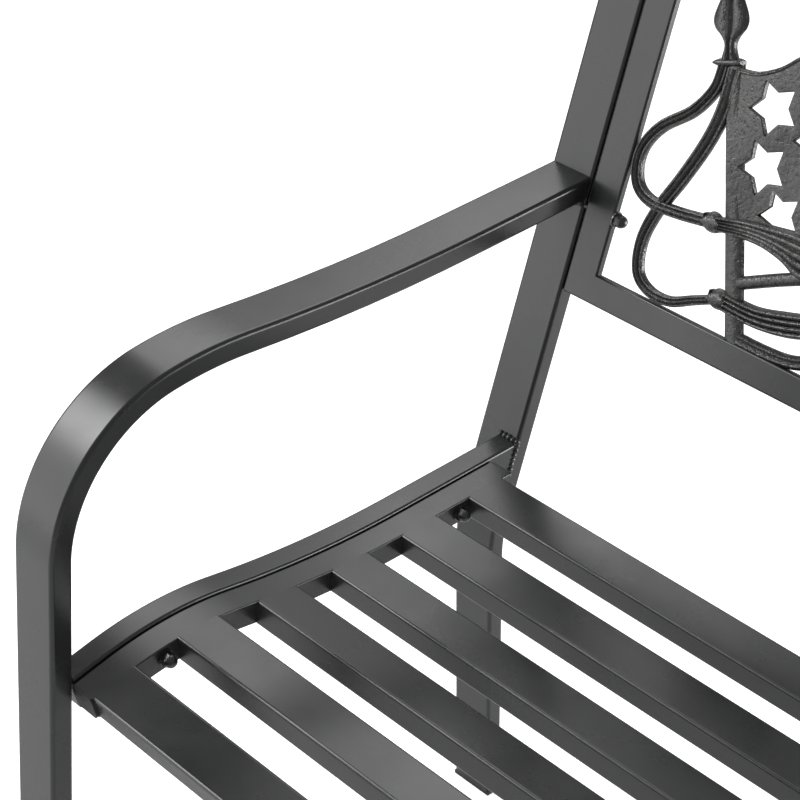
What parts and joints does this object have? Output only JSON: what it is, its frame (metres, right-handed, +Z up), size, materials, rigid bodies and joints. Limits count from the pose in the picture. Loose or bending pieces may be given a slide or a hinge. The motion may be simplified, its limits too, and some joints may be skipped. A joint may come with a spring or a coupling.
{
  "type": "garden bench",
  "caption": "Garden bench with bent tube arms, a slatted contoured seat and a cast flag and star back.",
  "frame": {"origin": "on the floor, at the centre of the bench's footprint box", "axes": "+X along the bench to its right as seen from the front, +Y to the back, +Z up; the front faces -Y"},
  "size_m": [1.276, 0.6184, 0.8912],
  "materials": {
    "powder_coat": "satin charcoal powder coat over steel tube",
    "casting": "semi-gloss black paint over a rough sand casting",
    "plastic_caps": "matt black moulded plastic",
    "hardware": "satin black painted steel"
  },
  "bodies": {
    "root": {"arm_tube_left": "powder_coat", "arm_tube_right": "powder_coat", "rear_post_left": "powder_coat", "rear_post_right": "powder_coat", "side_rail_left": "powder_coat", "side_rail_right": "powder_coat", "seat_rail_left": "powder_coat", "seat_rail_right": "powder_coat", "seat_slat_1": "powder_coat", "seat_slat_2": "powder_coat", "seat_slat_3": "powder_coat", "seat_slat_4": "powder_coat", "seat_slat_5": "powder_coat", "seat_slat_6": "powder_coat", "seat_brace": "powder_coat", "back_stile_left": "powder_coat", "back_stile_right": "powder_coat", "back_bottom_rail": "powder_coat", "back_top_rail": "powder_coat", "arm_welds": "powder_coat", "side_rail_welds": "powder_coat", "flag_panel_left": "casting", "flag_panel_right": "casting", "centre_medallion": "casting", "front_foot_caps": "plastic_caps", "rear_foot_caps": "plastic_caps", "post_top_caps": "plastic_caps", "seat_front_plugs": "plastic_caps", "seat_rear_plugs": "plastic_caps", "seat_bolts": "hardware", "seat_washers": "hardware", "seat_cap_nuts": "hardware", "back_bolts": "hardware", "back_washers": "hardware", "back_cap_nuts": "hardware", "casting_screws": "hardware"}
  },
  "joints": []
}
